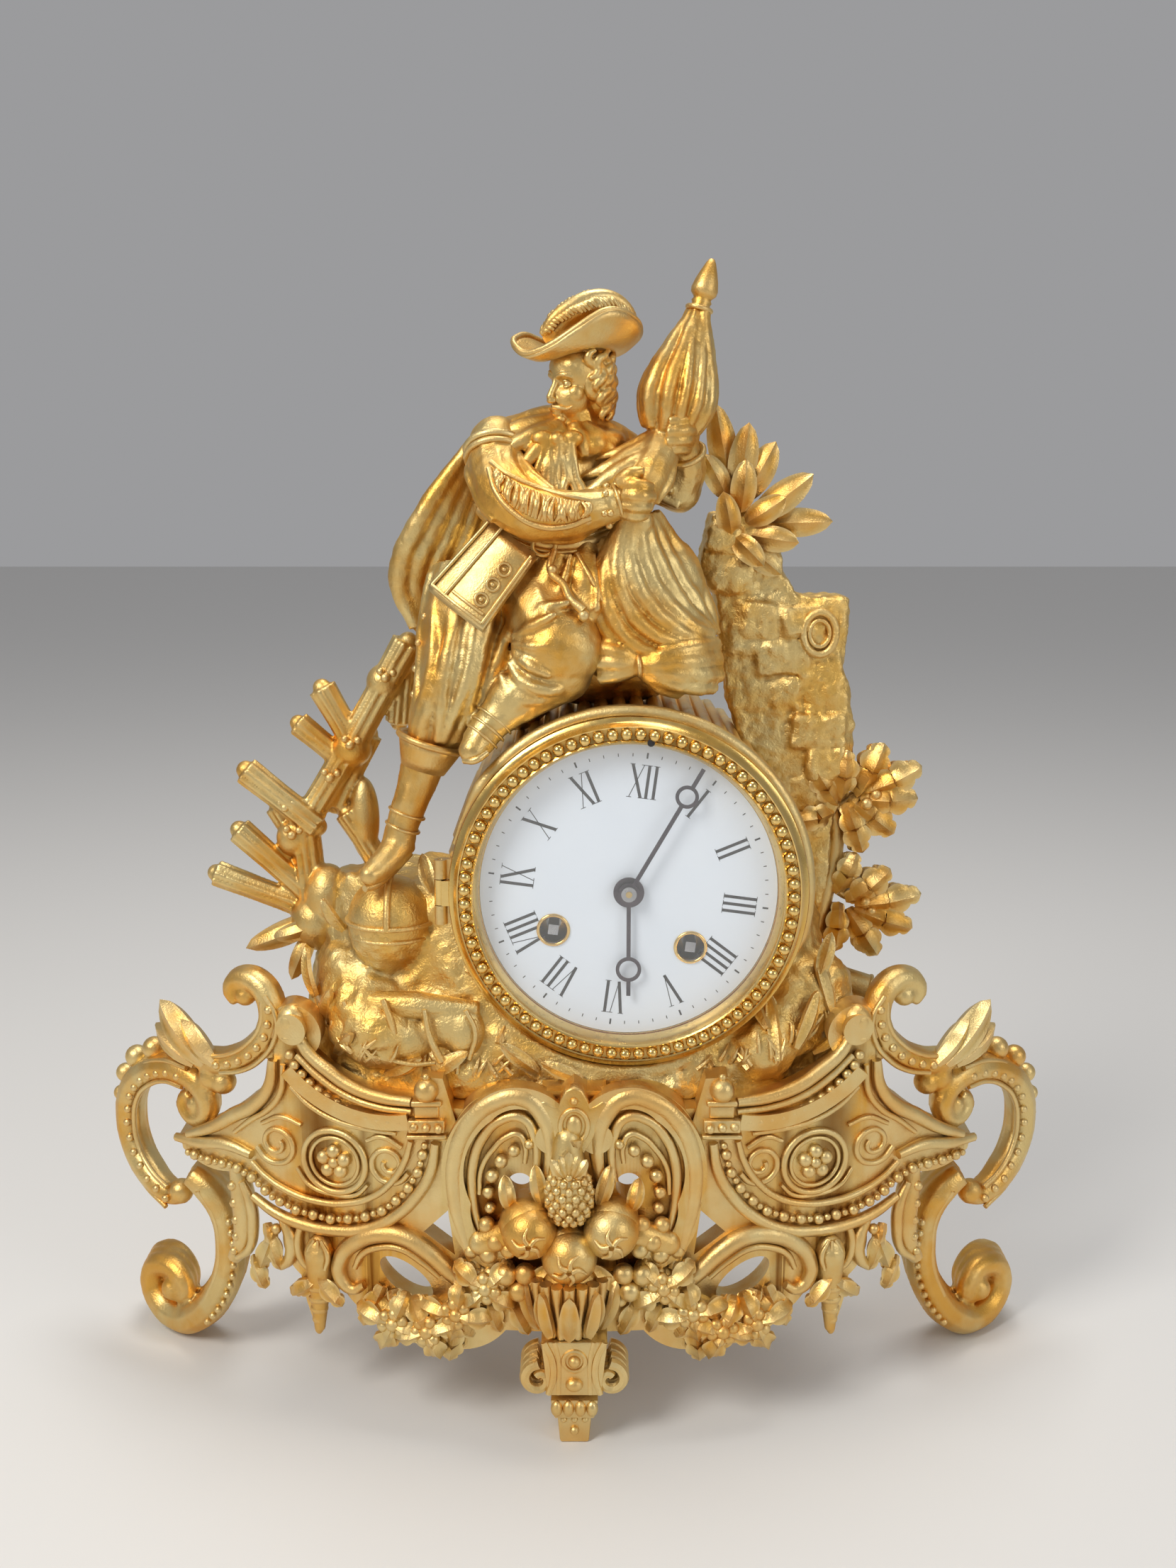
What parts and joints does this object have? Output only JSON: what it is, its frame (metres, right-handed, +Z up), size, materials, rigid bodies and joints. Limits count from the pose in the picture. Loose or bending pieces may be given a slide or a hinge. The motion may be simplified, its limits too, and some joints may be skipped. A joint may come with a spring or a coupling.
{
  "type": "figural clock",
  "caption": "Gilt figural mantel clock: standard-bearer seated on a drum movement with enamel dial, rocky mound, fence and ruin, on a bowed scrolled base with pendulum.",
  "frame": {"origin": "on the table, at the middle of the bounding box's underside", "axes": "+X to the viewer's right, +Y to the back, +Z up; the dial faces -Y"},
  "size_m": [0.327, 0.128, 0.3686],
  "materials": {
    "gilt_spelter": "aged gilding, burnished high points over a granular matt ground",
    "gilt_brass": "polished gilding",
    "brass": "plain lacquered brass",
    "steel": "plain steel",
    "blued_steel": "dark blued steel",
    "enamel": "glossy white enamel with dark numerals",
    "glass": "clear convex glass",
    "bell_bronze": "turned bell metal"
  },
  "bodies": {
    "case": {"back_plate": "brass", "base_casting": "gilt_spelter", "base_left_scroll": "gilt_spelter", "base_right_scroll": "gilt_spelter", "bell": "bell_bronze", "bell_stand": "steel", "case_bolts": "steel", "dial_plate": "gilt_brass", "dial_posts": "brass", "enamel_dial": "enamel", "fence_casting": "gilt_spelter", "figure_body": "gilt_spelter", "figure_cape": "gilt_spelter", "figure_hat": "gilt_spelter", "figure_head": "gilt_spelter", "figure_left_arm": "gilt_spelter", "figure_right_arm": "gilt_spelter", "figure_stud_and_nut": "steel", "flag_finial": "gilt_spelter", "front_foot": "gilt_spelter", "front_plate": "brass", "furled_flag": "gilt_spelter", "hinge_pins": "steel", "laurel_spray": "gilt_spelter", "left_foot": "gilt_spelter", "mound_casting": "gilt_spelter", "movement_drum": "gilt_spelter", "movement_straps": "brass", "oak_sprays": "gilt_spelter", "plate_pillars": "brass", "rear_ring": "brass", "right_foot": "gilt_spelter", "ruined_wall": "gilt_spelter", "suspension_cock": "brass"},
    "bezel": {"front_bezel": "gilt_brass", "front_glass": "glass"},
    "rear_cover": {"rear_cover": "brass"},
    "minute": {"minute_hand": "blued_steel", "hand_collet": "brass", "cannon_pinion": "brass"},
    "hour": {"hour_hand": "blued_steel", "hour_wheel": "brass"},
    "minute_wheel": {"minute_wheel": "brass"},
    "time_arbor": {"time_winding_arbor": "steel"},
    "strike_arbor": {"strike_winding_arbor": "steel"},
    "regulator": {"regulator_arbor": "steel"},
    "time_barrel": {"time_barrel": "brass", "time_mainspring": "steel"},
    "intermediate": {"intermediate_wheel": "brass"},
    "centre": {"centre_wheel": "brass"},
    "third": {"third_wheel": "brass"},
    "escape": {"escape_wheel": "brass"},
    "anchor": {"pallet_anchor": "steel"},
    "pendulum": {"suspension_spring": "steel", "pendulum_rod": "steel", "pendulum_bob": "brass"},
    "strike_barrel": {"strike_barrel": "brass", "strike_mainspring": "steel"},
    "strike_wheel": {"strike_wheel": "brass"},
    "hammer": {"strike_hammer": "steel"}
  },
  "joints": [
    {"name": "bezel_hinge", "type": "hinge", "parent": "case", "child": "bezel", "pos_m": [-0.0416, -0.036, 0.175], "axis": [0, 0, -1], "range_deg": [0, 105]},
    {"name": "rear_cover_hinge", "type": "hinge", "parent": "case", "child": "rear_cover", "pos_m": [0.07, 0.0524, 0.175], "axis": [0, 0, -1], "range_deg": [0, 100]},
    {"name": "minute_hand_turn", "type": "hinge", "parent": "case", "child": "minute", "pos_m": [0.017, -0.036, 0.175], "axis": [0, 1, 0], "continuous": true},
    {"name": "hour_hand_turn", "type": "hinge", "parent": "case", "child": "hour", "pos_m": [0.017, -0.033, 0.175], "axis": [0, 1, 0], "continuous": true},
    {"name": "minute_wheel_turn", "type": "hinge", "parent": "case", "child": "minute_wheel", "pos_m": [0.01857, -0.027, 0.1869], "axis": [0, 1, 0], "continuous": true},
    {"name": "time_winding", "type": "hinge", "parent": "case", "child": "time_arbor", "pos_m": [0.0365, -0.01, 0.15662], "axis": [0, 1, 0], "continuous": true},
    {"name": "strike_winding", "type": "hinge", "parent": "case", "child": "strike_arbor", "pos_m": [-0.0066, -0.01, 0.16229], "axis": [0, 1, 0], "continuous": true},
    {"name": "regulator_turn", "type": "hinge", "parent": "case", "child": "regulator", "pos_m": [0.02333, -0.01, 0.22309], "axis": [0, 1, 0], "continuous": true},
    {"name": "third_wheel_turn", "type": "hinge", "parent": "case", "child": "third", "pos_m": [0.0117, 0, 0.1878], "axis": [0, 1, 0], "continuous": true},
    {"name": "centre_wheel_turn", "type": "hinge", "parent": "case", "child": "centre", "pos_m": [0.017, 0, 0.175], "axis": [0, 1, 0], "continuous": true},
    {"name": "intermediate_wheel_turn", "type": "hinge", "parent": "case", "child": "intermediate", "pos_m": [0.0313, 0, 0.17841], "axis": [0, 1, 0], "continuous": true},
    {"name": "time_barrel_turn", "type": "hinge", "parent": "case", "child": "time_barrel", "pos_m": [0.0365, 0, 0.15662], "axis": [0, 1, 0], "continuous": true},
    {"name": "escape_wheel_turn", "type": "hinge", "parent": "case", "child": "escape", "pos_m": [0.01993, 0, 0.19726], "axis": [0, 1, 0], "continuous": true},
    {"name": "pendulum_swing", "type": "hinge", "parent": "case", "child": "pendulum", "pos_m": [0.02333, 0.02, 0.21709], "axis": [0, 1, 0], "range_deg": [-3, 3]},
    {"name": "anchor_rock", "type": "hinge", "parent": "case", "child": "anchor", "pos_m": [0.0217, 0, 0.21069], "axis": [0, 1, 0], "range_deg": [-3.98, 3.98]},
    {"name": "strike_barrel_turn", "type": "hinge", "parent": "case", "child": "strike_barrel", "pos_m": [-0.0066, 0, 0.16229], "axis": [0, 1, 0], "continuous": true},
    {"name": "strike_wheel_turn", "type": "hinge", "parent": "case", "child": "strike_wheel", "pos_m": [-0.0118, 0, 0.18408], "axis": [0, 1, 0], "continuous": true},
    {"name": "hammer_lift", "type": "hinge", "parent": "case", "child": "hammer", "pos_m": [-0.02216, 0, 0.18016], "axis": [0, -1, 0], "range_deg": [0, 14], "stiffness_Nm_per_rad": 0.002}
  ],
  "couplings": [
    {"joint": "hour_hand_turn", "follows": "minute_hand_turn", "ratio": 0.083333},
    {"joint": "minute_wheel_turn", "follows": "minute_hand_turn", "ratio": -0.33333},
    {"joint": "centre_wheel_turn", "follows": "third_wheel_turn", "ratio": -0.1},
    {"joint": "intermediate_wheel_turn", "follows": "third_wheel_turn", "ratio": 0.016667},
    {"joint": "time_barrel_turn", "follows": "third_wheel_turn", "ratio": -0.0027778},
    {"joint": "escape_wheel_turn", "follows": "third_wheel_turn", "ratio": -10},
    {"joint": "anchor_rock", "follows": "pendulum_swing", "ratio": 1.2947},
    {"joint": "strike_wheel_turn", "follows": "strike_barrel_turn", "ratio": -6}
  ]
}
